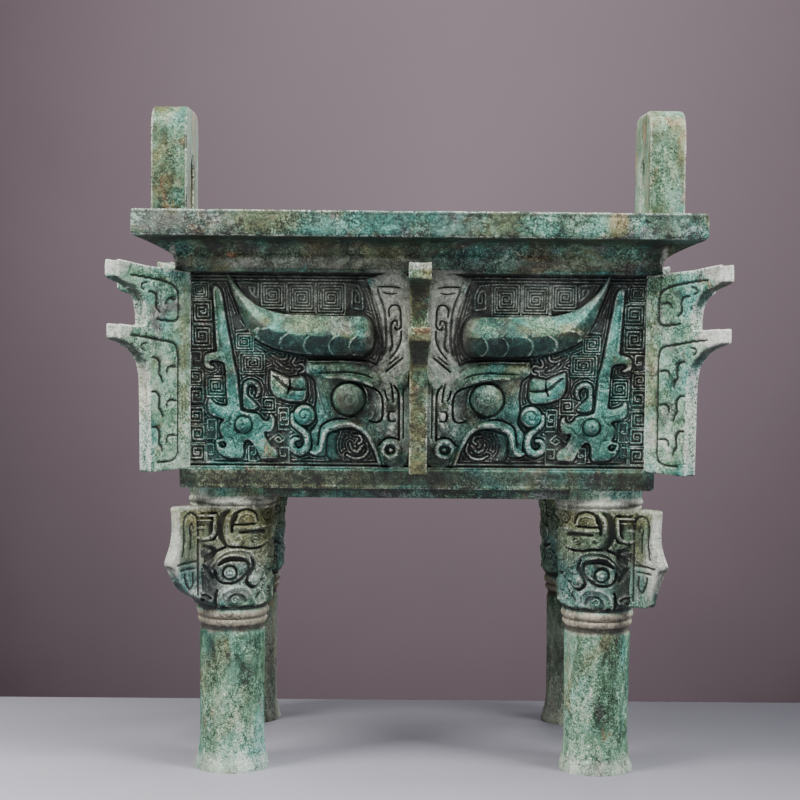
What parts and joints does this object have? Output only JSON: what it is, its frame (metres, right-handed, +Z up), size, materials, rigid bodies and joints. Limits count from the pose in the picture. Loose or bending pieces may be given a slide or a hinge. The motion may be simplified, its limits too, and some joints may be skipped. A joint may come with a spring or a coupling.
{
  "type": "square bronze ding",
  "caption": "Square cast-bronze ritual vessel with upright loop ears on its lip, hooked flanges, horned masks in relief and round legs, under a green patina.",
  "frame": {"origin": "on the ground plane at the middle of the footprint", "axes": "+Z up, X along the long sides with an ear at each end, and the front looks towards -Y"},
  "size_m": [0.2852, 0.2152, 0.303],
  "materials": {
    "patinated_bronze": "old bronze under a dull green and dark patina with pale crust on its edges"
  },
  "bodies": {
    "root": {"ding": "patinated_bronze"}
  },
  "joints": []
}
